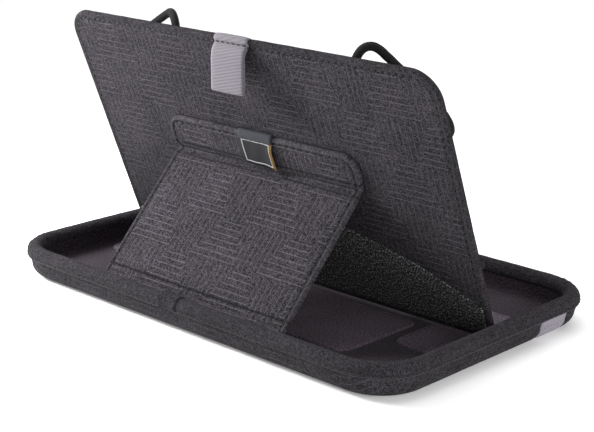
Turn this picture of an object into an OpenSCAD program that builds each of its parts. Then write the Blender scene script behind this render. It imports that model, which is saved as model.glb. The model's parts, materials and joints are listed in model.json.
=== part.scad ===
// Folio tablet case, standing open as an easel.
// A moulded foam tray holds a back panel on a fabric-hinged flap; the panel leans towards
// the near side (-Y) and the tablet sits on its far face under four elastic corner loops.
// Millimetres. Origin: centre of the tray's footprint on the surface it stands on.
// X runs along the long sides, +Y towards the far long side, +Z up.

/* [Tray] */
// Overall width of the tray along X
tray_w = 234; // [220:1:250]
// Overall depth of the tray along Y
tray_d = 145; // [140:1:155]
// Height of the rim above the surface
tray_h = 15.5; // [15:0.5:17]
// Plan radius of the tray's corners at the rim
corner_r = 25; // [20:1:32]
// Width of the rolled rim binding
rim_w = 7.2; // [6.6:0.2:8]
// Height of the lining's floor
floor_z = 3.2; // [3:0.1:3.6]
// Thickness of the raised pads on the floor
pad_t = 0.8; // [0.4:0.1:1]

/* [Closure band] */
// Width of the elastic closure band
band_w = 18; // [12:1:20]
// Thickness of the elastic closure band
band_t = 0.9; // [0.6:0.1:1]
// How far the band stands proud of the side walls
band_proud = 0.35; // [0.2:0.05:0.6]

/* [Back panel] */
// Width of the back panel
panel_w = 215; // [205:1:216]
// Height of the back panel from its foot to its top edge
panel_h = 126; // [120:1:130]
// Plan radius of the back panel's corners
panel_r = 13; // [8:1:18]
// Radius of the panel's lower corners
panel_foot_r = 7; // [5:1:13]
// Lean of the back panel from upright, towards -Y
panel_lean = 21.7; // [18:0.1:25]
// Y of the foot's near edge on the tray's floor
foot_y = 7.3; // [5:0.1:10]
// Height of the foot's near edge
foot_z = 4.7; // [4.6:0.1:5.2]
// Width of the binding round the panel's edge
edge_t = 1.2; // [1:0.1:2]

/* [Flap and tongue] */
// Width of the flap that props the panel
flap_w = 111; // [100:1:116]
// Height of the flap's crease up the panel
crease_h = 62.8; // [60:0.1:66]
// Width of the tongue above the crease
tongue_w = 113; // [104:1:118]
// Height of the tongue above the crease
tongue_h = 17.5; // [16:0.5:22]
// Corner radius of the tongue's top edge
tongue_r = 8; // [4:1:9]
// Height of the loop-pile patch on the panel's back, at the middle of its arched top
loop_h = 43; // [35:1:50]
// Radius of the patch's arched top
loop_arch_r = 220; // [150:10:400]

/* [Trim] */
// Width of the label folded over the tongue
label_w = 20; // [16:1:24]
// Height of the label
label_h = 15; // [12:1:17]
// Width of the ribbon pull tab
tab_w = 19.5; // [15:0.5:25]
// Hanging length of the ribbon pull tab
tab_l = 19.5; // [18:0.5:30]
// Outer thickness of the tab's loop
tab_t = 2.8; // [2.4:0.1:4]
// Height of the tab's sewn base
tab_base_h = 2; // [2:0.2:4]

/* [Elastic loops] */
// Diameter of the elastic corner loops
elastic_d = 3.6; // [3:0.1:4]
// Thickness of the tablet that the loops are shaped round
tablet_t = 8; // [7:0.5:9]
// How far the -X loops reach along the panel's long edges, against the +X ones
left_loop_spread = 1.65; // [1:0.05:1.8]

/* [Hidden] */
$fn = 64;

// Layers of the tray, from the outside in
cover_t = 0.7;
lining_t = 0.6;
board_t = 0.6;
arc_steps = 10;

// Outer wall: a bottom bend, then a wall that opens slightly up to the rim.
// u is measured inwards from the rim's outermost line.
bend_r = 6.6;
bend_u = 9;
wall_top_u = 1.2;
wall_top_z = 10.9;

// Inner wall, as the face that the lining shows
inner_top_u = 6.3;
inner_top_z = 11.2;
inner_low_u = 7;
fillet_r = 3;
flat_u = inner_low_u + fillet_r;

// Rolled rim: half an ellipse over the top of the wall
rim_base_z = 11.6;
rim_skin = 0.9;
rim_leg_z = 10.9;

// Closure band, on the straight part of the short walls next to the far corners
band_y0 = tray_d / 2 - corner_r - band_w;

// Raised pads on the floor
floor_pad_w = 140;
floor_pad_y = [-44, 5];
end_pad_x = [75, 105];
end_pad_y = [-20.5, 38];
pad_r = 6;

// Layers of the back panel, from its back face (local y = 0) to its front
panel_cover_y = 0.5;
panel_board_y = 1.3;
panel_foam_y = 1.7;
panel_t = 2.2;

// Layers of the tongue, from the panel's back face outwards
tongue_lining_y = 1.2;
tongue_board_y = 2.2;
tongue_t = 2.8;

// Flap: a stiff plate between two fabric hinges
flap_t = 2.4;
flap_skin = 0.6;
hinge_y = -64;
hinge_z = 11.6;
hinge_gap = 1.6;
crease_gap = 2.4;
crease_y = -tongue_t / 2;
tongue_gap = 1.6;
loop_t = 0.8;
loop_margin = 2.5;
label_t = 0.6;
tab_layer = 0.9;

// Crease position in the tray's frame, and the flap that reaches it
crease_pos = [
    foot_y - sin(panel_lean) * crease_h + cos(panel_lean) * crease_y,
    foot_z + cos(panel_lean) * crease_h + sin(panel_lean) * crease_y
];
flap_reach = crease_pos - [hinge_y, hinge_z];
flap_l = norm(flap_reach);
flap_angle = atan2(flap_reach[1], flap_reach[0]);

// Route of one elastic loop, for the corner at +X and the top edge, in the panel's frame
// measured from that corner: x inwards from the side edge, y off the front face, z down
// from the top edge. The loop crosses the side at loop_side_x and is sewn down at loop_end_x.
loop_lift = 10;
loop_side_x = 7;
loop_end_x = 10;
loop_route = [
    [44, 0, 3.6], [44, 0.9, 3.6], [44, 1.8, 3.6], [43.7, 3.1, 2.9], [43, 4.4, 1.4], [42, 5.8, 0.1],
    [40.6, 7.4, -0.5], [38.8, 8.9, -0.1], [36.8, 9.8, 1.4], [34, loop_lift, 3.9], [28, loop_lift, 9.4],
    [21, loop_lift, 16], [14, loop_lift, 23], [10.8, 9.6, 26.6], [8.4, 8.5, 29.1], [6.9, 6.8, 30.6],
    [6.6, 5.2, 31.4], [7.2, 3.8, 31.9], [8.6, 2.7, 32.1],
    [loop_end_x, 1.8, 32.1], [loop_end_x, 0.9, 32.1], [loop_end_x, 0, 32.1]
];
loop_sub = 3;
loop_sides = 10;

function unit(v) = v / norm(v);
function pick(p, i) = p[max(0, min(len(p) - 1, i))];

// Catmull-Rom point between p[i] and p[i + 1]
function spline_point(p, i, t) =
    let (a = pick(p, i - 1), b = pick(p, i), c = pick(p, i + 1), d = pick(p, i + 2))
    0.5 * (2 * b + (c - a) * t + (2 * a - 5 * b + 4 * c - d) * t * t
        + (3 * b - a - 3 * c + d) * t * t * t);
function spline(p, steps) = concat(
    [for (i = [0 : len(p) - 2], s = [0 : steps - 1]) spline_point(p, i, s / steps)],
    [p[len(p) - 1]]
);
function tangent(p, i) = unit(pick(p, i + 1) - pick(p, i - 1));
function square_to(n, t) = unit(n - (n * t) * t);
function normals(p, n0) = [
    for (i = 0, n = square_to(n0, tangent(p, 0)); i < len(p);
         i = i + 1, n = square_to(n, tangent(p, i))) n
];

// Outer wall's curve, offset inwards by t, from the rim down to the flat bottom
function wall_curve(t) = concat(
    [[-(wall_top_u + t), wall_top_z]],
    [for (s = [0 : arc_steps])
        let (a = 180 + 90 * s / arc_steps)
        [-(bend_u + (bend_r - t) * cos(a)), bend_r + (bend_r - t) * sin(a)]]
);

// Inner wall's curve, offset outwards by t, from the floor up to the rim
function inner_curve(t) = concat(
    [for (s = [0 : arc_steps])
        let (a = 270 - 90 * s / arc_steps)
        [-(flat_u + (fillet_r + t) * cos(a)), floor_z + fillet_r + (fillet_r + t) * sin(a)]],
    [[-(inner_top_u - t), inner_top_z]]
);

// Half ellipse over the wall, from the outer side to the inner side
function rim_arch(skin) = [
    for (s = [0 : 2 * arc_steps])
        let (a = 180 - 90 * s / arc_steps)
        [-rim_w / 2 - (rim_w / 2 - skin) * cos(a), rim_base_z + (tray_h - rim_base_z - skin) * sin(a)]
];

// Band's path in the X-Z plane at the +X wall, offset inwards by t, from the wall's top down
function band_side(t) = concat(
    [[tray_w / 2 - wall_top_u + band_proud - t, wall_top_z - 0.3]],
    [for (s = [0 : arc_steps])
        let (a = 90 * s / arc_steps, r = bend_r + band_proud * (1 - s / arc_steps) - t)
        [tray_w / 2 - bend_u + r * cos(a), bend_r - r * sin(a)]]
);
function mirrored(p) = [for (i = [len(p) - 1 : -1 : 0]) [-p[i][0], p[i][1]]];
function reversed(p) = [for (i = [len(p) - 1 : -1 : 0]) p[i]];

// Plain shapes
module rounded(w, d, r) {
    square([w - 2 * r, d], center = true);
    square([w, d - 2 * r], center = true);
    for (x = [-1, 1], y = [-1, 1])
        translate([x * (w / 2 - r), y * (d / 2 - r)])
            circle(r);
}

// Sweeps a profile (x outwards from the tray's outer line, y up) round the tray
module ring() {
    for (turn = [0, 180]) {
        rotate([0, 0, turn])
            ring_side(tray_w - 2 * corner_r, tray_d / 2) children();
        rotate([0, 0, turn + 90])
            ring_side(tray_d - 2 * corner_r, tray_w / 2) children();
    }
    for (x = [-1, 1], y = [-1, 1])
        translate([x * (tray_w / 2 - corner_r), y * (tray_d / 2 - corner_r), 0])
            rotate([0, 0, 90 * (x > 0 ? (y > 0 ? 0 : 3) : (y > 0 ? 1 : 2))])
                rotate_extrude(angle = 90)
                    translate([corner_r, 0])
                        children();
}
module ring_side(length, reach) {
    translate([-length / 2, reach, 0])
        rotate([90, 0, 90])
            linear_extrude(length)
                children();
}

// Extrudes a profile of the X-Z plane over the closure band's width
module across_band(extra = 0) {
    translate([0, band_y0 + band_w + extra, 0])
        rotate([90, 0, 0])
            linear_extrude(band_w + 2 * extra)
                children();
}
module band_profile(t0, t1) {
    polygon(concat(band_side(t0), mirrored(band_side(t0)),
        reversed(mirrored(band_side(t1))), reversed(band_side(t1))));
}
module floor_plate(inset, z0, z1) {
    translate([0, 0, z0])
        linear_extrude(z1 - z0)
            rounded(tray_w - 2 * inset, tray_d - 2 * inset, corner_r - inset);
}
module pad(x, y, z0) {
    translate([(x[0] + x[1]) / 2, (y[0] + y[1]) / 2, z0])
        linear_extrude(pad_t)
            rounded(x[1] - x[0], y[1] - y[0], pad_r);
}

// Places children in the panel's frame: x along its width, y off its back face towards the
// tablet, z up from its foot
module on_panel() {
    translate([0, foot_y, foot_z])
        rotate([panel_lean, 0, 0])
            children();
}
// A plate of the panel, inset from its outline, between two depths
module panel_layer(inset, y0, y1) {
    on_panel()
        translate([0, y1, panel_h / 2])
            rotate([90, 0, 0])
                linear_extrude(y1 - y0)
                    panel_outline(panel_w - 2 * inset, panel_h - 2 * inset, inset);
}
module panel_outline(w, h, inset) {
    rounded(w, h, panel_r - inset);
    translate([0, -h / 4])
        rounded(w, h / 2, panel_foot_r - inset);
}
// Outline of the tongue: square at the crease, rounded at the top
module tongue_outline(inset) {
    w = tongue_w - 2 * inset;
    h = tongue_h - tongue_gap - 2 * inset;
    r = tongue_r - inset;
    translate([-w / 2, inset])
        square([w, h - r]);
    translate([-w / 2 + r, inset])
        square([w - 2 * r, h]);
    for (x = [-1, 1])
        translate([x * (w / 2 - r), inset + h - r])
            circle(r);
}
module tongue_layer(inset, y0, y1) {
    on_panel()
        translate([0, -y0, crease_h + tongue_gap])
            rotate([90, 0, 0])
                linear_extrude(y1 - y0)
                    tongue_outline(inset);
}
// A plate of the flap between its two fabric hinges, z0 to z1 across its thickness
module flap_layer(inset, z0, z1) {
    translate([0, hinge_y, hinge_z])
        rotate([flap_angle, 0, 0])
            translate([-flap_w / 2 + inset, hinge_gap + inset, z0])
                cube([flap_w - 2 * inset, flap_l - hinge_gap - crease_gap - 2 * inset, z1 - z0]);
}

// Closed tube of circular section along p
module tube(p, d) {
    n = normals(p, [1, 0, 0.3]);
    rings = len(p);
    points = [
        for (i = [0 : rings - 1], k = [0 : loop_sides - 1])
            let (a = 360 * k / loop_sides)
            p[i] + d / 2 * (cos(a) * n[i] + sin(a) * cross(tangent(p, i), n[i]))
    ];
    sides = [
        for (i = [0 : rings - 2], k = [0 : loop_sides - 1])
            let (m = (k + 1) % loop_sides)
            [i * loop_sides + k, (i + 1) * loop_sides + k, (i + 1) * loop_sides + m, i * loop_sides + m]
    ];
    caps = [
        [for (k = [0 : loop_sides - 1]) k],
        [for (k = [loop_sides - 1 : -1 : 0]) (rings - 1) * loop_sides + k]
    ];
    polyhedron(points, concat(sides, caps), convexity = 4);
}
// Distance in from the side edge of a loop that reaches further along the long edge
function spread_out(x, spread) = loop_side_x + (x - loop_side_x) * (x > loop_end_x ? spread : 1);
// One corner loop; side is -1 or 1 along X, level is 1 at the top edge and -1 at the foot
module elastic_loop(side, level) {
    stretch = (tablet_t + elastic_d / 2 + 0.2) / loop_lift;
    spread = side > 0 ? 1 : left_loop_spread;
    color([0.13, 0.12, 0.13])
        on_panel()
            translate([0, panel_t, panel_h / 2])
                mirror([side > 0 ? 0 : 1, 0, 0])
                    mirror([0, 0, level > 0 ? 0 : 1])
                        tube(spline([for (q = loop_route)
                            [panel_w / 2 - spread_out(q[0], spread), q[1] * stretch, panel_h / 2 - q[2]]
                        ], loop_sub), elastic_d);
}

// Tray
module outer_cover() {
    color([0.24, 0.22, 0.25]) {
        difference() {
            union() {
                ring()
                    polygon(concat(wall_curve(0), reversed(wall_curve(cover_t))));
                floor_plate(bend_u, 0, cover_t);
            }
            across_band()
                band_profile(0, band_t);
        }
        across_band()
            band_profile(band_t, band_t + cover_t);
    }
}
module foam_shell() {
    color([0.12, 0.12, 0.13])
        difference() {
            union() {
                ring()
                    polygon(concat(
                        wall_curve(cover_t),
                        [[-flat_u, cover_t], [-flat_u, floor_z - lining_t - board_t]],
                        inner_curve(lining_t),
                        reversed(rim_arch(rim_skin))
                    ));
                floor_plate(flat_u, cover_t, floor_z - lining_t - board_t);
            }
            across_band()
                band_profile(0, band_t + cover_t);
        }
}
module base_board() {
    color([0.55, 0.45, 0.33])
        floor_plate(flat_u, floor_z - lining_t - board_t, floor_z - lining_t);
}
module tray_lining() {
    color([0.2, 0.18, 0.2]) {
        ring()
            polygon(concat(inner_curve(0), reversed(inner_curve(lining_t))));
        floor_plate(flat_u, floor_z - lining_t, floor_z);
    }
}
module rim_binding() {
    color([0.22, 0.2, 0.22])
        ring()
            polygon(concat(
                [[0, rim_leg_z]], rim_arch(0), [[-rim_w, rim_leg_z], [-(rim_w - rim_skin), rim_leg_z]],
                reversed(rim_arch(rim_skin)), [[-rim_skin, rim_leg_z]]
            ));
}
module floor_pad() {
    color([0.22, 0.2, 0.22])
        pad([-floor_pad_w / 2, floor_pad_w / 2], floor_pad_y, floor_z);
}
module end_pad(side) {
    color([0.2, 0.18, 0.2])
        mirror([side > 0 ? 0 : 1, 0, 0])
            pad(end_pad_x, end_pad_y, floor_z);
}
module closure_band() {
    color([0.55, 0.54, 0.56])
        across_band()
            band_profile(0, band_t);
}
module flap_hinge_tape() {
    tape_t = 0.6;
    tape_z0 = floor_z + fillet_r + 0.4;
    color([0.16, 0.15, 0.17])
        translate([-flap_w / 2, -tray_d / 2 + inner_low_u, tape_z0])
            cube([flap_w, tape_t, rim_leg_z - tape_z0]);
}

// Flap
module flap_cover() {
    color([0.33, 0.32, 0.35])
        flap_layer(0, flap_t / 2 - flap_skin, flap_t / 2);
}
module flap_board() {
    color([0.5, 0.42, 0.32])
        flap_layer(1, flap_skin - flap_t / 2, flap_t / 2 - flap_skin);
}
module flap_lining() {
    color([0.14, 0.13, 0.14])
        flap_layer(0, -flap_t / 2, flap_skin - flap_t / 2);
}

// Back panel
module panel_cover() {
    color([0.3, 0.29, 0.31])
        panel_layer(edge_t, 0, panel_cover_y);
}
module panel_board() {
    color([0.5, 0.42, 0.32])
        panel_layer(edge_t, panel_cover_y, panel_board_y);
}
module panel_foam() {
    color([0.1, 0.1, 0.11])
        panel_layer(edge_t, panel_board_y, panel_foam_y);
}
module panel_lining() {
    color([0.17, 0.16, 0.17])
        panel_layer(edge_t, panel_foam_y, panel_t);
}
module panel_binding() {
    color([0.14, 0.13, 0.14])
        difference() {
            panel_layer(0, 0, panel_t);
            panel_layer(edge_t, -1, panel_t + 1);
        }
}
module loop_patch() {
    color([0.1, 0.1, 0.1])
        intersection() {
            panel_layer(loop_margin, -loop_t, 0);
            on_panel()
                translate([0, 1, loop_h - loop_arch_r])
                    rotate([90, 0, 0])
                        cylinder(h = loop_t + 2, r = loop_arch_r);
        }
}
module tongue_cover() {
    color([0.3, 0.29, 0.31])
        tongue_layer(0, tongue_board_y, tongue_t);
}
module tongue_board() {
    color([0.5, 0.42, 0.32])
        tongue_layer(0.8, tongue_lining_y, tongue_board_y);
}
module tongue_lining() {
    color([0.12, 0.12, 0.12])
        tongue_layer(0, 0, tongue_lining_y);
}
module label() {
    top = crease_h + tongue_h;
    color([0.6, 0.59, 0.6])
        on_panel() {
            translate([-label_w / 2, -tongue_t - label_t, top - label_h])
                cube([label_w, label_t, label_h + label_t]);
            translate([-label_w / 2, -tongue_t, top])
                cube([label_w, tongue_t - 0.2, label_t]);
        }
}
module pull_tab_base() {
    color([0.62, 0.6, 0.63])
        on_panel()
            translate([-tab_w / 2, -2 * tab_layer, panel_h - tab_base_h])
                cube([tab_w, 2 * tab_layer, tab_base_h]);
}

// Pull tab: a flattened loop of ribbon that hangs straight down from its sewn base
module pull_tab() {
    top = [
        foot_y - sin(panel_lean) * (panel_h - tab_base_h) - cos(panel_lean) * tab_layer,
        foot_z + cos(panel_lean) * (panel_h - tab_base_h) - sin(panel_lean) * tab_layer
    ];
    drop = 1;
    stand_off = 0.9;
    hollow_t = tab_t - 2 * tab_layer;
    color([0.62, 0.6, 0.63])
        translate([-tab_w / 2, top[0] - stand_off, top[1] - drop])
            rotate([90, 0, 90])
                linear_extrude(tab_w)
                    difference() {
                        translate([-tab_t / 2, -tab_l / 2])
                            rounded(tab_t, tab_l, tab_t / 2 - 0.01);
                        translate([-tab_t / 2, -tab_l / 2])
                            rounded(hollow_t, tab_l - 2 * tab_layer, hollow_t / 2 - 0.01);
                    }
}

outer_cover();
foam_shell();
base_board();
tray_lining();
rim_binding();
floor_pad();
end_pad(-1);  // end_pad_left
end_pad(1);  // end_pad_right
closure_band();
flap_hinge_tape();
flap_cover();
flap_board();
flap_lining();
panel_cover();
panel_board();
panel_foam();
panel_lining();
panel_binding();
loop_patch();
tongue_cover();
tongue_board();
tongue_lining();
label();
pull_tab_base();
elastic_loop(-1, 1);  // elastic_loop_top_left
elastic_loop(1, 1);  // elastic_loop_top_right
elastic_loop(-1, -1);  // elastic_loop_bottom_left
elastic_loop(1, -1);  // elastic_loop_bottom_right
pull_tab();
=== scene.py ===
"""Looks of the folio tablet case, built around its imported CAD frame.

Mesh code works in millimetres in the row frame and is scaled to metres when a piece is made.
"""
import json
from functools import partialmethod
from math import cos, pi, radians, sin, sqrt

import bpy
import numpy as np
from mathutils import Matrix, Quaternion, Vector


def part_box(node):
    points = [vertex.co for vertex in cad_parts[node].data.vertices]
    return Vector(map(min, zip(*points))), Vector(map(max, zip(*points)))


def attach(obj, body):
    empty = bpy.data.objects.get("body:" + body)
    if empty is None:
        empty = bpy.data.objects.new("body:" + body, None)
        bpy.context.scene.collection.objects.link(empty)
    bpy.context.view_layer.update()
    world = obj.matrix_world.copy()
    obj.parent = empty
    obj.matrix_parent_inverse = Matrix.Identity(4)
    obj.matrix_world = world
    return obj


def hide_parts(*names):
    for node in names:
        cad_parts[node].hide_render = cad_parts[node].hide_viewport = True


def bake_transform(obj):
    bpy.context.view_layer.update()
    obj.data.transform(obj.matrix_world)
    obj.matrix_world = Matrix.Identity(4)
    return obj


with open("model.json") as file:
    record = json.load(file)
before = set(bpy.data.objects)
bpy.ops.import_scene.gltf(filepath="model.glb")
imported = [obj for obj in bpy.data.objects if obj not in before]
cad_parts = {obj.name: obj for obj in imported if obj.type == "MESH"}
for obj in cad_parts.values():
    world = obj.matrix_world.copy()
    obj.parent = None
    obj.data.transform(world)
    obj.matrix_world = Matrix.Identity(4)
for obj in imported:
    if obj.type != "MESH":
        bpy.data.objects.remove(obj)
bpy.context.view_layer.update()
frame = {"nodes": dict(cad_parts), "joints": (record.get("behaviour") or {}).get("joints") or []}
MM = 0.001
rng = np.random.default_rng(7)


# ---- camera, floor and light

CAMERA_AZIMUTH, CAMERA_ELEVATION, CAMERA_ROLL = 43.2, 16.43, 0.74
CAMERA_DISTANCE = 682.8
CAMERA_AIM = (-5.7, 8.5, 34.1)
CAMERA_LENS = 91.1


def link(obj):
    bpy.context.scene.collection.objects.link(obj)


def make_camera():
    """Camera at the viewing angle, aimed at a point of the row frame, with a slight roll."""
    az, el = radians(CAMERA_AZIMUTH), radians(CAMERA_ELEVATION)
    back = Vector((sin(az) * cos(el), -cos(az) * cos(el), sin(el)))
    data = bpy.data.cameras.new("camera")
    data.lens, data.sensor_width = CAMERA_LENS, 36
    data.clip_start, data.clip_end = 0.01, 20
    cam = bpy.data.objects.new("camera", data)
    link(cam)
    cam.location = (Vector(CAMERA_AIM) + back * CAMERA_DISTANCE) * MM
    cam.rotation_mode = "QUATERNION"
    upright = (-back).to_track_quat("-Z", "Y")
    cam.rotation_quaternion = Quaternion(back, radians(CAMERA_ROLL)) @ upright
    bpy.context.scene.camera = cam


def area_light(name, place, aim, size, power):
    data = bpy.data.lights.new(name, "AREA")
    data.shape, data.size, data.size_y = "RECTANGLE", size[0], size[1]
    data.energy = power
    lamp = bpy.data.objects.new(name, data)
    link(lamp)
    lamp.location = place
    lamp.rotation_mode = "QUATERNION"
    lamp.rotation_quaternion = (Vector(aim) - Vector(place)).to_track_quat("-Z", "Y")


def make_studio():
    """White sweep of a floor, an even white surround and soft boxes from the left and above."""
    bpy.context.scene.view_settings.view_transform = "Standard"
    world = bpy.data.worlds.new("surround")
    bpy.context.scene.world = world
    world.use_nodes = True
    world.node_tree.nodes["Background"].inputs["Color"].default_value = (1, 1, 1, 1)
    world.node_tree.nodes["Background"].inputs["Strength"].default_value = 0.2
    mesh = bpy.data.meshes.new("floor")
    reach = 6
    mesh.from_pydata([(-reach, -reach, 0), (reach, -reach, 0), (reach, reach, 0), (-reach, reach, 0)],
                     [], [(0, 1, 2, 3)])
    floor = bpy.data.objects.new("floor", mesh)
    link(floor)
    material = bpy.data.materials.new("floor")
    material.use_nodes = True
    shader = material.node_tree.nodes["Principled BSDF"]
    for socket, value in (("Base Color", (0.93, 0.93, 0.93, 1)), ("Roughness", 0.9), ("Specular IOR Level", 0.1),
                          ("Emission Color", (1, 1, 1, 1)), ("Emission Strength", 0.2)):
        shader.inputs[socket].default_value = value
    mesh.materials.append(material)
    area_light("key", (-0.3, -0.21, 0.24), (-0.06, -0.02, 0.07), (0.16, 0.16), 3.4)
    area_light("fill", (0.6, -0.2, 0.22), (0.06, -0.03, 0.02), (0.5, 0.4), 2.4)
    data = bpy.data.lights.new("overhead", "SUN")
    data.energy, data.angle = 2.15, radians(70)
    lamp = bpy.data.objects.new("overhead", data)
    link(lamp)
    lamp.rotation_euler = (radians(-14), radians(-14), 0)


# ---- materials

class Shader:
    """Short calls for building one material's nodes."""

    def __init__(self, name):
        self.material = bpy.data.materials.new(name)
        self.material.use_nodes = True
        self.tree = self.material.node_tree
        self.surface = self.tree.nodes["Principled BSDF"]

    def add(self, kind, links=(), **settings):
        node = self.tree.nodes.new("ShaderNode" + kind)
        for key, value in settings.items():
            setattr(node, key, value)
        for name, value in links:
            self.put(node, name, value)
        return node

    def put(self, node, name, value):
        socket = node.inputs[name]
        if isinstance(value, bpy.types.NodeSocket):
            self.tree.links.new(value, socket)
        else:
            socket.default_value = value

    def math(self, operation, a, b=0.0, c=0.0):
        return self.add("Math", [(0, a), (1, b), (2, c)], operation=operation).outputs[0]

    def cloth_xy(self):
        """The cloth's own flat coordinates, in millimetres."""
        split = self.add("SeparateXYZ", [(0, self.add("UVMap", uv_map="cloth").outputs[0])])
        return split.outputs[0], split.outputs[1]

    def place(self, x, y, z=0.0):
        return self.add("CombineXYZ", [(0, x), (1, y), (2, z)]).outputs[0]

    def noise(self, vector, scale, detail=2.0, rough=0.5):
        return self.add("TexNoise", [("Vector", vector), ("Scale", scale), ("Detail", detail),
                                     ("Roughness", rough)]).outputs["Fac"]

    def remap(self, value, low, high, to_low=0.0, to_high=1.0):
        return self.add("MapRange", [(0, value), (1, low), (2, high), (3, to_low), (4, to_high)]).outputs[0]

    def mix(self, factor, a, b):
        node = self.add("Mix", data_type="RGBA")
        self.put(node, 0, factor)
        self.put(node, 6, a)
        self.put(node, 7, b)
        return node.outputs[2]

    def bump(self, height, distance):
        node = self.add("Bump", [("Height", height), ("Distance", distance), ("Strength", 1.0)])
        self.put(self.surface, "Normal", node.outputs[0])

    def finish(self, colour, roughness, sheen=0.0, specular=0.3):
        for socket, value in (("Base Color", colour), ("Roughness", roughness), ("Sheen Weight", sheen),
                              ("Sheen Roughness", 0.5), ("Specular IOR Level", specular)):
            self.put(self.surface, socket, value)
        return self.material


for short, operation in (("mul", "MULTIPLY"), ("div", "DIVIDE"), ("plus", "ADD"), ("minus", "SUBTRACT"),
                         ("low", "MINIMUM"), ("high", "MAXIMUM"), ("less", "LESS_THAN"), ("more", "GREATER_THAN"),
                         ("floor", "FLOOR"), ("fract", "FRACT"), ("abs", "ABSOLUTE"), ("sin", "SINE"),
                         ("power", "POWER"), ("root", "SQRT"), ("modulo", "FLOORED_MODULO")):
    setattr(Shader, short, partialmethod(Shader.math, operation))


def grey(value, tint=(1.0, 0.9, 1.06)):
    return (value * tint[0], value * tint[1], value * tint[2], 1)


def cell_noise(s, x, y, size_x, size_y, seed):
    """One random tone for each cell of a grid, as of one visible bit of yarn."""
    at = s.place(s.floor(s.div(x, size_x)), s.floor(s.div(y, size_y)), seed)
    return s.add("TexWhiteNoise", [("Vector", at)], noise_dimensions="3D").outputs["Value"]


def heather(s, x, y, pitch, run):
    """Plain weave of mottled yarns: the tone of the yarn on top, and the weave's relief."""
    warp = cell_noise(s, x, y, pitch, run, 1.0)
    weft = cell_noise(s, x, y, run, pitch, 2.0)
    over = s.modulo(s.plus(s.floor(s.div(x, pitch)), s.floor(s.div(y, pitch))), 2.0)
    pick = s.add("Mix", data_type="FLOAT")
    s.put(pick, 0, over)
    s.put(pick, 2, warp)
    s.put(pick, 3, weft)
    turn = pi / pitch
    relief = s.mul(s.sin(s.mul(x, turn)), s.sin(s.mul(y, turn)))
    return pick.outputs[0], s.abs(relief)


def maze_lines(s, x, y):
    """Fine lines: groups of level lines that widen downwards, in staggered rows, with upright
    lines between the groups. Returns the lines and where they are level."""
    pitch, width, rows, half = 2.93, 0.07, 7, 4.7
    row = s.floor(s.div(y, rows * pitch))
    level = s.floor(s.minus(s.div(y, pitch), s.mul(row, float(rows))))
    shift = s.mul(s.modulo(row, 2.0), rows * pitch)
    across = s.modulo(s.plus(x, shift), 2 * rows * pitch)
    away = s.abs(s.minus(s.div(across, pitch), float(rows)))
    reach = s.minus(half, s.mul(level, 0.45))
    is_level = s.less(away, reach)
    pick = s.add("Mix", data_type="FLOAT")
    s.put(pick, 0, is_level)
    s.put(pick, 2, s.fract(s.div(x, pitch)))
    s.put(pick, 3, s.fract(s.div(y, pitch)))
    line = s.less(s.abs(s.minus(pick.outputs[0], 0.5)), width)
    return line, is_level


def edge_distance(s, x, y, width, low, high, radius):
    """How far a point of the cloth is inside a round-cornered outline."""
    beside = s.minus(s.abs(x), width / 2 - radius)
    centred = s.minus(y, (low + high) / 2)
    above = s.minus(s.abs(centred), (high - low) / 2 - radius)
    past_x, past_y = s.high(beside, 0.0), s.high(above, 0.0)
    past = s.root(s.plus(s.mul(past_x, past_x), s.mul(past_y, past_y)))
    short = s.low(s.high(beside, above), 0.0)
    return s.minus(radius, s.plus(past, short))


def woven(name, dark, light, lines=0.0, edge=None, seam=0.0, across=()):
    """Heathered plain weave, with or without the line pattern. Given its outline as edge, it has painted
    shade along the seam all round and a painted highlight on the turned edge; across lists the heights of level
    seams, shaded alike."""
    pitch, faint = 0.46, 0.62
    s = Shader(name)
    x, y = s.cloth_xy()
    tone, relief = heather(s, x, y, pitch, pitch * 2.2)
    fibre = s.noise(s.place(x, y, 3.0), 2.1, 2.0, 0.7)
    cloudy = s.noise(s.place(x, y, 5.0), 0.05, 2.0)
    tone = s.plus(s.mul(tone, 0.6), s.mul(s.remap(fibre, 0.3, 0.7), 0.5))
    tone = s.plus(tone, s.mul(s.minus(cloudy, 0.5), 0.25))
    colour = s.mix(s.power(tone, 2.0), grey(dark), grey(light))
    height = s.plus(s.mul(relief, 0.6), s.mul(tone, 0.7))
    if edge:
        inset = edge_distance(s, x, y, *edge)
    if lines:
        line, level = maze_lines(s, x, y)
        worn = s.remap(s.noise(s.place(x, y, 7.0), 0.9, 2.0), 0.3, 0.55, 0.35, 1.0)
        amount = s.mul(s.mul(line, worn), s.remap(level, 0, 1, lines * faint, lines))
        if edge:
            amount = s.mul(amount, s.remap(inset, seam - 0.3, seam + 0.3))
        colour = s.mix(amount, colour, grey(light * 1.9))
        height = s.plus(height, s.mul(line, 0.6))
    if edge:
        # painted shade: the cloth is darkened along the seam groove and the level seams, where shade falls
        off = s.abs(s.minus(inset, seam))
        for level in across:
            off = s.low(off, s.abs(s.minus(y, level)))
        seam_shade = s.mul(s.remap(off, 0.2, 0.75, 1.0, 0.0), s.remap(fibre, 0.35, 0.6, 0.4, 0.8))
        # painted highlight: the turned edge outside the seam is lightened, as if catching light
        colour = s.mix(s.remap(inset, seam - 0.5, seam - 1.1, 0.0, 0.12), colour, grey(light * 1.5))
        colour = s.mix(seam_shade, colour, grey(dark * 0.5))
    s.bump(height, 0.0002)
    return s.finish(colour, 0.9, sheen=0.02, specular=0.08)


def brushed(name, dark, light):
    """Short-napped lining."""
    s = Shader(name)
    x, y = s.cloth_xy()
    nap = s.noise(s.place(x, y), 1.2, 3.0, 0.6)
    cloudy = s.noise(s.place(x, y, 4.0), 0.06, 2.0)
    tone = s.plus(s.remap(nap, 0.32, 0.68), s.mul(s.minus(cloudy, 0.5), 0.4))
    s.bump(nap, 0.0003)
    plum = (1.08, 0.84, 1.08)
    return s.finish(s.mix(tone, grey(dark, plum), grey(light, plum)), 0.95, sheen=0.05, specular=0.1)


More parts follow.
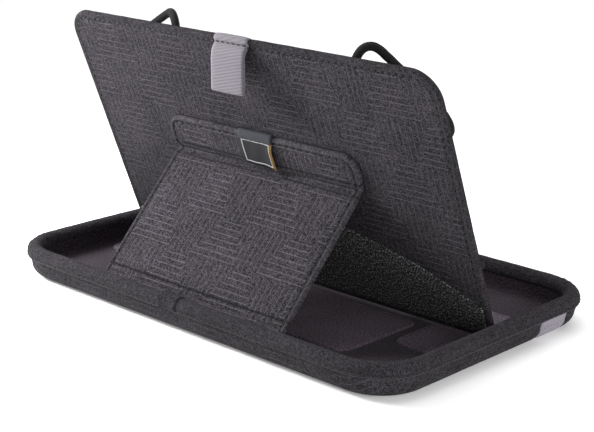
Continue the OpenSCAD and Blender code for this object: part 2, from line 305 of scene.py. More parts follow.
def looped(name, dark, light):
    """Curly loop pile: near-black, with painted highlights as bright specks on the loop tips."""
    s = Shader(name)
    x, y = s.cloth_xy()
    curl = s.noise(s.place(x, y), 1.2, 3.0, 0.8)
    tip_glints = s.power(s.remap(curl, 0.39, 0.72), 3.0)
    s.bump(curl, 0.0004)
    return s.finish(s.mix(tip_glints, grey(dark, (1, 1, 1)), grey(light, (1, 1, 1))), 0.8, sheen=0.02, specular=0.1)


def ribbed(name, dark, light, rib=0.9, slant=0.0):
    """Ribbed webbing or twill: fine ribs across y, slanted on twill."""
    s = Shader(name)
    x, y = s.cloth_xy()
    lean = s.plus(y, s.mul(x, slant))
    wave = s.sin(s.mul(lean, 2 * pi / rib))
    fibre = s.noise(s.place(s.mul(x, 3.0), y), 1.5, 2.0)
    tone = s.plus(s.remap(wave, -1, 1, 0.3, 0.7), s.mul(s.minus(fibre, 0.5), 0.9))
    s.bump(s.plus(s.mul(wave, 0.5), fibre), 0.00012)
    return s.finish(s.mix(tone, grey(dark), grey(light)), 0.75, sheen=0.15, specular=0.3)


def braided(name, dark, light):
    """Braid of a round elastic: crossing diagonal strands."""
    s = Shader(name)
    x, y = s.cloth_xy()
    one = s.sin(s.mul(s.plus(x, y), 2 * pi / 1.1))
    two = s.sin(s.mul(s.minus(x, y), 2 * pi / 1.1))
    strand = s.high(one, two)
    s.bump(strand, 0.00025)
    return s.finish(s.mix(s.remap(strand, -0.2, 1), grey(dark), grey(light)), 0.8, sheen=0.03, specular=0.15)


def board(name):
    """Grey stiffening board, inside the panel, the flap and the tray's floor."""
    s = Shader(name)
    vector = s.add("TexCoord").outputs["Object"]
    fibre = s.noise(vector, 900.0, 3.0)
    s.bump(fibre, 0.0001)
    return s.finish(s.mix(s.remap(fibre, 0.3, 0.7), (0.2, 0.16, 0.11, 1), (0.33, 0.27, 0.2, 1)), 0.9)


def foam(name):
    """Closed-cell foam, inside the tray and the panel."""
    s = Shader(name)
    vector = s.add("TexCoord").outputs["Object"]
    cells = s.add("TexVoronoi", [("Vector", vector), ("Scale", 1400.0)]).outputs["Distance"]
    s.bump(cells, 0.0001)
    return s.finish(s.mix(s.remap(cells, 0.0, 0.7), (0.012, 0.012, 0.013, 1), (0.035, 0.035, 0.037, 1)), 0.9)


def thread(name, dark, light):
    s = Shader(name)
    x, y = s.cloth_xy()
    twist = s.sin(s.mul(s.plus(x, y), 2 * pi / 0.5))
    s.bump(twist, 0.00008)
    return s.finish(s.mix(s.remap(twist, -1, 1), grey(dark), grey(light)), 0.6, sheen=0.1, specular=0.3)


def label_cloth(name):
    """Plain dark satin label with a woven border line, no mark, and ochre selvedges."""
    s = Shader(name)
    x, y = s.cloth_xy()
    satin = s.sin(s.mul(y, 2 * pi / 0.45))
    colour = s.mix(s.remap(satin, -1, 1), (0.006, 0.0065, 0.008, 1), (0.013, 0.014, 0.017, 1))
    off_x = s.abs(x)
    off_y = s.abs(s.minus(y, 6.6))
    inside = s.mul(s.less(off_x, 8.6), s.less(off_y, 5.6))
    core = s.mul(s.less(off_x, 8.1), s.less(off_y, 5.1))
    colour = s.mix(s.minus(inside, core), colour, (0.42, 0.42, 0.42, 1))
    colour = s.mix(s.more(x, 9.3), colour, (0.3, 0.17, 0.03, 1))
    colour = s.mix(s.more(y, 12.6), colour, (0.03, 0.033, 0.04, 1))
    s.bump(satin, 0.00008)
    return s.finish(colour, 0.65, specular=0.2)


# ---- mesh tools

def outline(w, d, radii, nx, ny):
    """2 * (nx + ny) points round a rounded rectangle, anticlockwise from the middle of its
    lower left corner. radii are those of the lower left, lower right, upper right and upper left."""
    def side(length, reach, ra, rb, n):
        a, b = pi * ra / 4, pi * rb / 4
        straight = max(length - ra - rb, 0)
        s = np.linspace(0, a + straight + b, n + 1)[:-1]
        x, y = np.clip(s - a, 0, straight) - length / 2 + ra, np.full(n, -reach / 2)
        for sign, r, past in ((-1, ra, a - s), (1, rb, s - a - straight)):
            if r > 0:
                turn = past > 0
                t = np.radians(270 + sign * 45 * past[turn] / (pi * r / 4))
                x[turn] = sign * (length / 2 - r) + r * np.cos(t)
                y[turn] = -reach / 2 + r + r * np.sin(t)
        return np.c_[x, y]
    turns = [side(w, d, radii[0], radii[1], nx), side(d, w, radii[1], radii[2], ny),
             side(w, d, radii[2], radii[3], nx), side(d, w, radii[3], radii[0], ny)]
    out = []
    for k, p in enumerate(turns):
        for _ in range(k):
            p = np.c_[-p[:, 1], p[:, 0]]
        out.append(p)
    return np.vstack(out)


def inset_outline(w, d, radii, inset, nx, ny):
    w, d = max(w - 2 * inset, 0), max(d - 2 * inset, 0)
    r = [min(max(q - inset, 0.0), d / 2, w / 2) for q in radii]
    return outline(w, d, r, nx, ny)


def ring_faces(start, rings, count):
    """Faces between closed rings of points that follow each other."""
    faces = []
    for k in range(rings - 1):
        for i in range(count):
            a, b = start + k * count + i, start + k * count + (i + 1) % count
            faces.append((a, b, b + count, a + count))
    return faces


class Disc:
    """A sheet over a rounded rectangle: rings that follow its edge, then a regular grid.

    border holds the insets of its edge rings. arc holds the same rings' insets in the flat
    cloth, where the border is folded up or down.
    """

    def __init__(self, w, d, radii, border, cell, arc=None):
        arc = border if arc is None else arc
        self.n = max(1, round((d / 2 - border[-1]) / cell))
        self.nx = 2 * self.n + max(0, round((w - d) / cell))
        self.ny = 2 * self.n
        self.count = 2 * (self.nx + self.ny)
        self.rings = len(border)
        extra = arc[-1] - border[-1]
        self.points, self.insets = self.spread(w, d, radii, border)
        self.flat, _ = self.spread(w + 2 * extra, d + 2 * extra, [r + extra for r in radii], arc)
        self.faces = self.connect()

    def spread(self, w, d, radii, border):
        points = [inset_outline(w, d, radii, inset, self.nx, self.ny) for inset in border]
        insets = [np.full(self.count, float(inset)) for inset in border]
        for k in range(1, self.n + 1):
            inset = border[-1] + (d / 2 - border[-1]) * k / self.n
            if k < self.n:
                ring = inset_outline(w, d, radii, inset, self.nx - 2 * k, self.ny - 2 * k)
            else:
                ring = np.linspace(-(w - d) / 2, (w - d) / 2, self.nx - 2 * k + 1)
                ring = np.c_[ring, np.zeros(len(ring))]
            points.append(ring)
            insets.append(np.full(len(ring), inset))
        return np.vstack(points), np.concatenate(insets)

    def connect(self):
        faces = ring_faces(0, self.rings, self.count)
        index = -np.ones((self.ny + 1, self.nx + 1), int)
        total = (self.rings - 1) * self.count
        for k in range(self.n + 1):
            for j, i in self.ring_cells(k):
                index[j, i] = total
                total += 1
        for j in range(self.ny):
            for i in range(self.nx):
                faces.append((index[j, i], index[j, i + 1], index[j + 1, i + 1], index[j + 1, i]))
        return faces

    def ring_cells(self, k):
        nx, ny = self.nx, self.ny
        if k == self.n:
            return [(k, i) for i in range(k, nx - k + 1)]
        low = [(k, i) for i in range(k, nx - k)]
        right = [(j, nx - k) for j in range(k, ny - k)]
        high = [(ny - k, i) for i in range(nx - k, k, -1)]
        left = [(j, k) for j in range(ny - k, k, -1)]
        return low + right + high + left


def solid(front, back, front_xyz, back_xyz):
    """Closed shell between two discs of the same build: front faces up, back faces down."""
    n = len(front_xyz)
    faces = list(front.faces) + [tuple(n + v for v in reversed(f)) for f in back.faces]
    for i in range(front.count):
        j = (i + 1) % front.count
        faces.append((j, i, n + i, n + j))
    return np.vstack([front_xyz, back_xyz]), faces, np.vstack([front.flat, back.flat])


def tube(path, sections, closed=False):
    """Skin over cross-sections: sections[i] are the points round path station i, in the row frame."""
    stations, sides = sections.shape[:2]
    faces = []
    runs = stations if closed else stations - 1
    for i in range(runs):
        n = (i + 1) % stations
        for k in range(sides):
            m = (k + 1) % sides
            faces.append((i * sides + k, n * sides + k, n * sides + m, i * sides + m))
    if not closed:
        faces.append(tuple(range(sides)))
        faces.append(tuple((stations - 1) * sides + k for k in reversed(range(sides))))
    along = np.repeat(path, sides)
    steps = np.linalg.norm(np.diff(sections[0], axis=0, append=sections[0][:1]), axis=1)
    round_ = np.tile(np.r_[0, np.cumsum(steps)[:-1]], stations)
    return sections.reshape(-1, 3), faces, np.c_[along, round_]


def piece(name, verts, faces, flat, body, slot, material, replaces=()):
    """Makes one piece of the object, with its flat cloth coordinates in the UV map 'cloth'."""
    mesh = bpy.data.meshes.new(name)
    mesh.from_pydata((np.asarray(verts) * MM).tolist(), [], [tuple(int(v) for v in f) for f in faces])
    layer = mesh.uv_layers.new(name="cloth")
    corners = np.zeros(len(mesh.loops), int)
    mesh.loops.foreach_get("vertex_index", corners)
    layer.data.foreach_set("uv", np.asarray(flat, np.float32)[corners].ravel())
    mesh.validate()
    mesh.update()
    mesh.shade_smooth()
    mesh.materials.append(material)
    obj = bpy.data.objects.new(name, mesh)
    link(obj)
    if body:
        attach(obj, body)
    if replaces:
        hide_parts(*replaces)
    return obj


def waves(x, y, scale, seed, octaves=3):
    """Smooth repeatable unevenness from -1 to 1: a few sine waves in seeded directions."""
    local = np.random.default_rng(seed)
    total = np.zeros_like(x, float)
    for k in range(octaves * 2):
        angle, phase = local.uniform(0, 2 * pi, 2)
        freq = 2 * pi / scale * (1.0 + 0.45 * k)
        total += np.sin((x * cos(angle) + y * sin(angle)) * freq + phase) / (1 + 0.5 * k)
    return total / (octaves * 1.2)


def unit(v):
    v = np.asarray(v, float)
    return v / np.linalg.norm(v, axis=-1, keepdims=True)


def heading(line):
    """Unit directions along a line, at its points."""
    return unit(np.gradient(line, axis=0))


def arc_lengths(line):
    """Distances along a line, at its points."""
    return np.r_[0, np.cumsum(np.linalg.norm(np.diff(line, axis=0), axis=1))]


def outwards(points, w, d, radius):
    """Unit directions square to a rounded rectangle's outline, away from its middle."""
    half = np.array([w, d]) / 2 - np.reshape(radius, (-1, 1))
    return unit(points - np.clip(points, -half, half) + 1e-9)


def edge_roll(inset, radius):
    """0 at the edge, rising round a quarter circle to 1 at radius."""
    t = np.clip(np.asarray(inset, float) / radius, 0, 1)
    return np.sqrt(np.clip(1 - (1 - t) ** 2, 0, 1))


def dip(inset, where, width):
    """A smooth groove of depth 1 along an inset line."""
    return np.exp(-((np.asarray(inset, float) - where) / width) ** 2)


def resample(points, spacing, closed=False):
    """Points at an even spacing along a line, with their distances along it."""
    p = np.vstack([points, points[:1]]) if closed else np.asarray(points)
    run = arc_lengths(p)
    n = max(2, round(run[-1] / spacing))
    s = np.linspace(0, run[-1], n + 1)
    if closed:
        s = s[:-1]
    return np.c_[tuple(np.interp(s, run, p[:, k]) for k in range(p.shape[1]))], s


def stitches(line, normals, pitch=3.2, length=2.3, width=0.42, sink=0.12, closed=False):
    """A row of separate thread stitches that lie on a surface along a line."""
    line = np.asarray(line, float)
    data = np.hstack([line, np.broadcast_to(np.asarray(normals, float), line.shape)])
    centres, _ = resample(data, pitch, closed)
    if not closed:
        centres = centres[:-1] + (centres[1:] - centres[:-1]) / 2
    nxt = np.roll(centres, -1, axis=0) - np.roll(centres, 1, axis=0)
    if not closed:
        nxt[0], nxt[-1] = centres[1] - centres[0], centres[-1] - centres[-2]
    slack = 0.05
    sides, shape = 6, [(-0.5, 0.25, -1.1), (-0.42, 0.8, -0.4), (-0.2, 1.0, 0.1), (0.2, 1.0, 0.1),
                       (0.42, 0.8, -0.4), (0.5, 0.25, -1.1)]
    verts, faces, flat = [], [], []
    for c, step in zip(centres, nxt):
        t = unit(step[:3])
        n = unit(c[3:6] - (c[3:6] @ t) * t)
        t = unit(t + np.cross(n, t) * rng.normal(0, slack))
        b = np.cross(t, n)
        start = len(verts)
        for along, size, lift in shape:
            for k in range(sides):
                a = 2 * pi * k / sides
                verts.append(c[:3] + t * along * length
                             + n * (width / 2 * (lift + size * 0.8 * sin(a)) - sink + width / 4)
                             + b * (width / 2 * size * cos(a)))
                flat.append((along * length, k * width / 2))
        faces += ring_faces(start, len(shape), sides)
        faces.append(tuple(start + k for k in reversed(range(sides))))
        faces.append(tuple(start + (len(shape) - 1) * sides + k for k in range(sides)))
    return np.array(verts), faces, np.array(flat)


def ribbon(line, across, normals, width, thick, cells=8):
    """A strip of webbing along a line: flat section with soft edges."""
    line, across, normals = (np.asarray(v, float) for v in (line, across, normals))
    across = np.broadcast_to(across, line.shape)
    spread = np.linspace(-1, 1, cells + 1)
    around = np.r_[spread, spread[::-1]]
    lift = 0.5 * thick * np.clip(1 - around ** 8, 0.45, 1) * np.repeat([1, -1], cells + 1)
    sections = np.stack([line + across * (width / 2 * t) + normals * h for t, h in zip(around, lift)], axis=1)
    verts, faces, flat = tube(arc_lengths(line), sections)
    return verts, faces, np.c_[np.tile(around * width / 2, len(line)), flat[:, 0]]


def spline(points, steps):
    """Catmull-Rom curve through points, with steps points to each span."""
    p = np.asarray(points, float)
    p = np.vstack([p[:1], p, p[-1:]])
    out = []
    for i in range(1, len(p) - 2):
        a, b, c, d = p[i - 1:i + 3]
        for t in np.arange(steps) / steps:
            out.append(0.5 * (2 * b + (c - a) * t + (2 * a - 5 * b + 4 * c - d) * t ** 2
                              + (3 * b - a - 3 * c + d) * t ** 3))
    return np.array(out + [p[-2]])


def sew(name, body, material, *rows):
    """Makes one piece of several rows of stitches."""
    verts, faces, flat, n = [], [], [], 0
    for v, f, uv in rows:
        verts.append(v)
        faces += [tuple(n + k for k in face) for face in f]
        flat.append(uv)
        n += len(v)
    piece(name, np.vstack(verts), faces, np.vstack(flat), body, None, material)


# ---- sizes read from the frame

X = np.array([1.0, 0, 0])
Z = np.array([0, 0, 1.0])


def box_mm(node):
    lo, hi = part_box(node)
    return np.array(lo) / MM, np.array(hi) / MM


def span(node):
    lo, hi = box_mm(node)
    return hi - lo


def flat_frame(plate, node):
    """The plate's direction towards the near side, its up direction, and the node's extents."""
    big = max(frame["nodes"][plate].data.polygons, key=lambda f: f.area)
    normal = unit(np.array(big.normal))
    normal = normal * (-1 if normal[1] > 0 else 1)
    normal[0] = 0
    up = np.cross(normal, X)
    co = np.array([v.co for v in frame["nodes"][node].data.vertices]) / MM
    return normal, up, (co @ up).min(), (co @ up).max(), (co @ normal).min(), (co @ normal).max()


joints = {j["name"]: j for j in frame["joints"]}
TRAY_W, TRAY_D, TRAY_H = *span("rim_binding")[:2], box_mm("rim_binding")[1][2]
TRAY_R = 25
TRAY = TRAY_W, TRAY_D, TRAY_R
FLOOR_Z = box_mm("floor_pad")[0][2]
RIM_W, RIM_BASE, RIM_SKIN = 7.2, 11.6, 0.9
BEND_U, BEND_R, WALL_TOP = 9, 6.6, (1.2, 10.9)
FILLET_U, FILLET_R, LINING_TOP = 10, 3, (6.3, 11.2)
COVER_T, LINING_T = 0.7, 0.6

BACK, UP, PANEL_FOOT, panel_top, panel_front, PANEL_FACE = flat_frame("panel_cover", "panel_binding")
PANEL_W = 2 * box_mm("panel_binding")[1][0]
PANEL_H, PANEL_T = panel_top - PANEL_FOOT, PANEL_FACE - panel_front
PANEL_R, PANEL_FOOT_R = 13, 7
PANEL_RADII = [PANEL_FOOT_R] * 2 + [PANEL_R] * 2
FOOT = UP * PANEL_FOOT + BACK * PANEL_FACE

HINGE = np.array(joints["flap_hinge"]["pos_m"]) / MM
CREASE = np.array(joints["crease_hinge"]["pos_m"]) / MM
HINGE[0] = CREASE[0] = 0
FLAP_L = np.linalg.norm(CREASE - HINGE)
FLAP_UP = (CREASE - HINGE) / FLAP_L
FLAP_W = 2 * box_mm("flap_cover")[1][0]
FLAP_OUT = np.cross(FLAP_UP, -X)
CREASE_H = (CREASE - FOOT) @ UP
TONGUE_W, TONGUE_H, TONGUE_R, TONGUE_T = 2 * box_mm("tongue_cover")[1][0], 17.5, 8, 2.8


def on_panel(x, off, h):
    """Points of the panel: x across, off outwards from its back face, h up from its foot."""
    x, off, h = np.broadcast_arrays(np.asarray(x, float), off, h)
    return FOOT + x[..., None] * X + off[..., None] * BACK + h[..., None] * UP


# ---- finishes

shell_cloth = woven("shell_cloth", 0.004, 0.075, lines=0.25)
rim_cloth = woven("rim_cloth", 0.008, 0.068)
HEM_V, TOP_HEM_V, TONGUE_V = 6.0, FLAP_L - 3.4, FLAP_L + 4
STRUT_SEAM, PANEL_SEAM = 2.5, 2.9
strut_cloth = woven("strut_cloth", 0.002, 0.104, lines=0.4, edge=(TONGUE_W, -8, FLAP_L + TONGUE_H, TONGUE_R),
                    seam=STRUT_SEAM, across=(HEM_V, TOP_HEM_V, TONGUE_V))
panel_cloth = woven("panel_cloth", 0.002, 0.084, lines=0.34, edge=(PANEL_W, 0, PANEL_H, PANEL_R), seam=PANEL_SEAM)
edge_cloth = woven("edge_cloth", 0.004, 0.075)
lining_cloth = brushed("lining_cloth", 0.004, 0.052)
# painted light: the pads use the lining's brushed cloth made lighter, standing in for the light that falls on
# them
pad_cloth_painted_light = brushed("pad_cloth_painted_light", 0.017, 0.135)
# painted highlight: the light tone is the glint on the pile's loop tips
pile_cloth = looped("pile_cloth", 0.001, 0.78)
tape_cloth = ribbed("tape_cloth", 0.012, 0.03)
band_cloth = ribbed("band_cloth", 0.15, 0.34, rib=1.1)
ribbon_cloth = ribbed("ribbon_cloth", 0.088, 0.16, rib=1.35, slant=0.25)
elastic_cord = braided("elastic_cord", 0.002, 0.016)
dark_thread = thread("dark_thread", 0.003, 0.012)
pale_thread = thread("pale_thread", 0.25, 0.45)
label_satin = label_cloth("label_satin")
inner_board = board("inner_board")
inner_foam = foam("inner_foam")


# ---- tray

def wall_lean(z):
    """How far the outer wall has moved inwards at a height, from its place at the top."""
    return (BEND_U - BEND_R - WALL_TOP[0]) * (WALL_TOP[1] - z) / (WALL_TOP[1] - BEND_R)


def wall_curve(t):
    """Outer wall from the rim down to the flat bottom, offset inwards by t: (u, z) points."""
    top = [(WALL_TOP[0] + t, z) for z in np.linspace(WALL_TOP[1], BEND_R + 0.8, 5)]
    top = [(u + wall_lean(z), z) for u, z in top]
    turn = [(BEND_U - (BEND_R - t) * cos(a), BEND_R - (BEND_R - t) * sin(a))
            for a in np.radians(np.linspace(0, 90, 9))]
    return np.array(top + turn)


def inner_curve(t):
    """Inner wall from the rim down to the floor, offset outwards by t: (u, z) points."""
    low_u = FILLET_U - FILLET_R
    top = [(LINING_TOP[0] - t + (low_u - LINING_TOP[0]) * k / 4,
            LINING_TOP[1] + (FLOOR_Z + FILLET_R - LINING_TOP[1]) * k / 4) for k in range(4)]
    turn = [(FILLET_U - (FILLET_R + t) * cos(a), FLOOR_Z + FILLET_R - (FILLET_R + t) * sin(a))
            for a in np.radians(np.linspace(0, 90, 7))]
    return np.array(top + turn)


def tray_disc(profile, cell):
    return Disc(TRAY_W, TRAY_D, [TRAY_R] * 4, list(profile[:, 0]), cell, list(arc_lengths(profile)))


def ring_heights(disc, profile):
    """z of every point of a tray disc: the profile's on its rings, the last one's on the grid."""
    z = np.full(len(disc.points), profile[-1, 1])
    z[:disc.count * len(profile)] = np.repeat(profile[:, 1], disc.count)
    return z


band_lo, band_hi = box_mm("closure_band")
BAND_MID, BAND_W, BAND_T = (band_lo[1] + band_hi[1]) / 2, band_hi[1] - band_lo[1], 0.9


def band_groove(points):
    """1 under the closure band, 0 beside it."""
    far = np.abs(points[:, 1] - BAND_MID) - BAND_W / 2
    return np.clip(1 - far / 0.8, 0, 1) * (np.abs(points[:, 1] - BAND_MID) < BAND_W)


def make_outer_cover():
    """Woven cover over the shell's outside, puffed on the walls and pressed in by the band."""
    outer, inner = wall_curve(0), wall_curve(COVER_T)
    low, high = tray_disc(outer, 2.6), tray_disc(inner, 2.6)
    z_low, z_high = ring_heights(low, outer), ring_heights(high, inner)
    side = np.clip((z_low - 0.5) / 3, 0, 1) * np.clip((10.9 - z_low) / 1.2, 0, 1)
    puff = side * (0.45 + 0.3 * waves(*low.flat.T, 34, 11))
    sunk = band_groove(low.points) * BAND_T
    away = outwards(low.points, *TRAY)
    up = np.clip(1 - z_low / BEND_R, 0, 1)
    xyz = np.c_[low.points + away * (puff - sunk * (1 - up))[:, None], z_low + sunk * up]
    mesh = solid(high, low, np.c_[high.points, z_high], xyz)
    obj = piece("outer_cover_cloth", *mesh, "tray", "shell_fabric", shell_cloth, ["outer_cover"])


def rim_section(skin):
    a = np.radians(np.linspace(180, 0, 19))
    arch = np.c_[RIM_W / 2 + (RIM_W / 2 - skin) * np.cos(a),
                 RIM_BASE + (TRAY_H - RIM_BASE - skin) * np.sin(a)]
    legs = [(skin, 10.3), (skin, 10.8)], [(RIM_W - skin, 11.0), (RIM_W - skin, 10.5)]
    return np.vstack([legs[0], arch, legs[1]])


def rim_line():
    """Stations round the tray's outline with outward directions and distances."""
    p = outline(TRAY_W, TRAY_D, [TRAY_R] * 4, 210, 130)
    return p, outwards(p, *TRAY), arc_lengths(p)


def corner_share(points):
    """1 in the middle of the tray's round corners, 0 on its straight sides."""
    x = np.clip((np.abs(points[:, 0]) - TRAY_W / 2 + TRAY_R) / TRAY_R, 0, 1)
    y = np.clip((np.abs(points[:, 1]) - TRAY_D / 2 + TRAY_R) / TRAY_R, 0, 1)
    return np.clip(3.2 * x * y, 0, 1)


def make_rim():
    p, away, run = rim_line()
    top, under = rim_section(0), rim_section(RIM_SKIN)
    section = np.vstack([top, under[::-1]])
    corner = corner_share(p)
    sections = np.zeros((len(p), len(section), 3))
    for k, (u, z) in enumerate(section):
        place = np.c_[p - away * u, np.full(len(p), z)]
        if k < len(top):
            lean = np.array([-(u - RIM_W / 2) / (RIM_W / 2), (z - RIM_BASE) / 3.9])
            lean = lean / max(np.linalg.norm(lean), 1e-6)
            crease = np.sin(run * 2 * pi / 4.3 + 1.3 * np.sin(run / 7.0) + k * 0.22)
            pucker = corner * 0.15 * crease * np.clip(1.2 - abs(k - len(top) / 2) / len(top), 0, 1)
            rise = 0.16 * waves(run, np.full(len(p), k * 1.1), 23, 5) + pucker
            if u < 0.6 and z < 11:
                rise = rise * 0.3 - 0.25
            place[:, :2] += away * (lean[0] * rise)[:, None]
            place[:, 2] += max(lean[1], 0) * rise
        sections[:, k] = place
    mesh = tube(run, sections, closed=True)
    obj = piece("rim_binding_cloth", *mesh, "tray", "binding", rim_cloth, ["rim_binding"])
    # painted shadow: a dark cord laid in the groove under the rim binding, standing in for the shade there
    a = np.radians(np.arange(0, 360, 60))
    flat = np.ones(len(p))
    seam = [np.c_[p - away * (0.7 + 0.55 * cos(t)), flat * (10.15 + 0.4 * sin(t))] for t in a]
    piece("rim_groove_shadow", *tube(run, np.stack(seam, axis=1), closed=True), "tray", None, dark_thread)
    stitch_line = np.c_[p + away * 0.1, np.full(len(p), 10.9)]
    row = stitches(stitch_line, np.c_[away, np.zeros(len(p))], pitch=3.4, length=2.4, closed=True)
    sew("rim_stitches", "tray", dark_thread, row)


def make_binding_lap():
    """The binding's end, laid over its start at the middle of the near side."""
    a = np.radians(np.linspace(-22, 125, 18))
    skin = 0.45
    y = -TRAY_D / 2 + RIM_W / 2 - (RIM_W / 2 + skin) * np.cos(a)
    z = RIM_BASE + (TRAY_H - RIM_BASE + skin) * np.sin(a)
    z = np.maximum(z, 10.3)
    line = np.c_[np.full(len(a), -9.0), y, z]
    normals = unit(np.c_[np.zeros(len(a)), -np.cos(a), np.maximum(np.sin(a), 0)])
    curl = 0.5 * np.exp(-((a - 0.7) / 0.5) ** 2)
    rows = []
    for x, lift in ((0.0, 0.75), (0.25, 1.0), (0.8, 0.95), (1.6, 0.6),
                    (3.5, 0.35), (6.5, 0.25), (9.0, 0.1), (10.5, -0.35)):
        share = lift + curl * max(0, 1 - x / 2.0)
        rows.append(line + X * x + normals * (share * 0.8)[:, None])
    under = [line + X * x - normals * 0.3 for x in (10.3, 5.0, 0.3)]
    sections = np.stack(rows + under, axis=1)
    piece("binding_lap", *tube(arc_lengths(line), sections), "tray", "binding", rim_cloth)


def make_tray_lining():
    face, back = inner_curve(0), inner_curve(LINING_T)
    high, low = tray_disc(face, 2.2), tray_disc(back, 2.2)
    z = ring_heights(high, face)
    z_low = ring_heights(low, back)
    z_low[high.count * len(face):] = FLOOR_Z - LINING_T
    floor = np.clip((high.insets - 11) / 6, 0, 1)
    z = z + floor * 0.12 * waves(*high.points.T, 48, 3) - floor * 0.05
    wall = np.clip((z - FLOOR_Z - 1) / 3, 0, 1) * np.clip((11 - z) / 2, 0, 1)
    bulge = wall * 0.3 * waves(*high.flat.T, 16, 9)
    xy = high.points - outwards(high.points, *TRAY) * bulge[:, None]
    mesh = solid(high, low, np.c_[xy, z], np.c_[low.points, z_low])
    obj = piece("tray_lining_cloth", *mesh, "tray", "lining", lining_cloth, ["tray_lining"])


def make_floor_pad(node, name):
    """A raised pad with rounded, stitched edges, where the CAD pad lies."""
    lo, hi = box_mm(node)
    w, d, t = hi - lo
    turned = d > w
    size = max(w, d), min(w, d), [6] * 4
    border = [0, 0.15, 0.4, 0.8, 1.3, 1.8, 2.2, 2.6, 3.2]
    top = Disc(*size, border, 1.9)
    z = t * edge_roll(top.insets, 0.8) - 0.2 * dip(top.insets, 2.2, 0.4)
    z = z + 0.08 * waves(*top.points.T, 30, len(name)) * np.clip(top.insets / 6, 0, 1) - 0.06

    def place(points, height):
        xy = np.c_[-points[:, 1], points[:, 0]] if turned else points
        return np.c_[xy + (lo[:2] + hi[:2]) / 2, height]

    base = place(top.points, np.full(len(z), lo[2] - 0.1))
    mesh = solid(top, top, place(top.points, lo[2] + z), base)
    obj = piece(name, *mesh, "tray", "lining", pad_cloth_painted_light, [node])
    ring = inset_outline(*size, 2.2, 60, 40)
    line = place(ring, np.full(len(ring), lo[2] + t - 0.22))
    sew(name + "_stitches", "tray", dark_thread, stitches(line, Z, length=2.2, closed=True))


def make_closure_band():
    proud, steps = 0.35, 10
    x0 = TRAY_W / 2 - WALL_TOP[0] + proud - BAND_T / 2
    side = [(x0 - wall_lean(z), z) for z in (WALL_TOP[1] - 0.3, 9.5, 8.2)]
    for s in range(steps + 1):
        a = radians(90 * s / steps)
        r = BEND_R + proud * (1 - s / steps) - BAND_T / 2
        side.append((TRAY_W / 2 - BEND_U + r * cos(a), BEND_R - r * sin(a)))
    right = np.array(side)
    base = np.c_[np.linspace(right[-1, 0], -right[-1, 0], 40)[1:-1], np.full(38, right[-1, 1])]
    path = np.vstack([right, base, np.c_[-right[::-1, 0], right[::-1, 1]]])
    line = np.c_[path[:, 0], np.full(len(path), BAND_MID), path[:, 1]]
    step = np.gradient(path, axis=0)
    normals = unit(np.c_[-step[:, 1], np.zeros(len(path)), step[:, 0]])
    normals = normals * np.where((normals @ Z > 0.2) | (normals[:, 0] * path[:, 0] < 0), -1, 1)[:, None]
    mesh = ribbon(line, (0, 1, 0), normals, BAND_W, BAND_T, cells=12)
    piece("closure_band_webbing", *mesh, "tray", "grey_elastic", band_cloth, ["closure_band"])
    rows = []
    for sign in (1, -1):
        for z in (8.6, 5.6):
            if z < BEND_R:
                at = TRAY_W / 2 - BEND_U + sqrt((BEND_R + proud) ** 2 - (BEND_R - z) ** 2)
            else:
                at = TRAY_W / 2 - WALL_TOP[0] + proud - 0.6
            p = np.array([[sign * at, BAND_MID + y, z] for y in (-BAND_W / 2 + 1, 0, BAND_W / 2 - 1)])
            rows.append(stitches(p, sign * X, pitch=2.4, length=1.7))
    sew("closure_band_stitches", "tray", pale_thread, *rows)


# ---- flap and tongue

CREASE_HALF, HINGE_HALF = 0.55, 0.5


def strut_path(v):
    """Middle line of the flap and tongue at distance v from the hinge, with outward normals."""
    v = np.asarray(v, float)
    bend = 2.2
    low = HINGE + v[:, None] * FLAP_UP
    high = CREASE + (v - FLAP_L)[:, None] * UP
    share = smooth(v, FLAP_L - bend, FLAP_L + bend)
    point = low * (1 - share)[:, None] + high * share[:, None]
    normal = unit(FLAP_OUT * (1 - share)[:, None] + BACK * share[:, None])
    return point, normal


def smooth(x, a, b):
    t = np.clip((x - a) / (b - a), 0, 1)
    return t * t * (3 - 2 * t)


def strut_half(v):
    """Half thickness: hinge cloth, hem, board, crease cloth, tongue."""
    hem, plate, tongue = 1.02, 1.2, TONGUE_T / 2
    half = HINGE_HALF + (hem - HINGE_HALF) * smooth(v, 1.0, 2.2)
    half = half + (plate - hem) * smooth(v, HEM_V, HEM_V + 2.5)
    half = half + (CREASE_HALF - plate) * smooth(v, FLAP_L - 4.2, FLAP_L - 1.4)
    return half + (tongue - CREASE_HALF) * smooth(v, FLAP_L + 0.8, FLAP_L + 3.0)


def strut_width(v):
    wide = FLAP_W + (TONGUE_W - FLAP_W) * smooth(v, FLAP_L - 2, FLAP_L + 4)
    return wide - 1.2 * np.exp(-((v - FLAP_L) / 2.5) ** 2)


def strut_points(x, v, side, inset):
    """Surface of the strut: side 1 is its outer face, -1 the one towards the panel."""
    point, normal = strut_path(v)
    half = strut_half(v)
    crease = np.exp(-((v - FLAP_L) / 3.0) ** 2)
    off = half * edge_roll(inset, 1.1)
    if side > 0:
        off = off + 0.2 * dip(inset, 1.1, 0.7) - 0.45 * dip(inset, STRUT_SEAM, 0.5) * (1 - crease)
        crown = 0.22 * (1 - np.exp(-np.maximum(inset - STRUT_SEAM, 0) / 7)) + 0.12 * waves(x, v, 42, 21)
        off = off + crown * (1 - crease) * smooth(inset, 2, 6)
        off = off - 0.3 * dip(v, HEM_V, 0.5) - 0.12 * dip(v, TOP_HEM_V, 0.5)
    scale = strut_width(v) / TONGUE_W
    return point + (x * scale)[:, None] * X + (side * off)[:, None] * normal


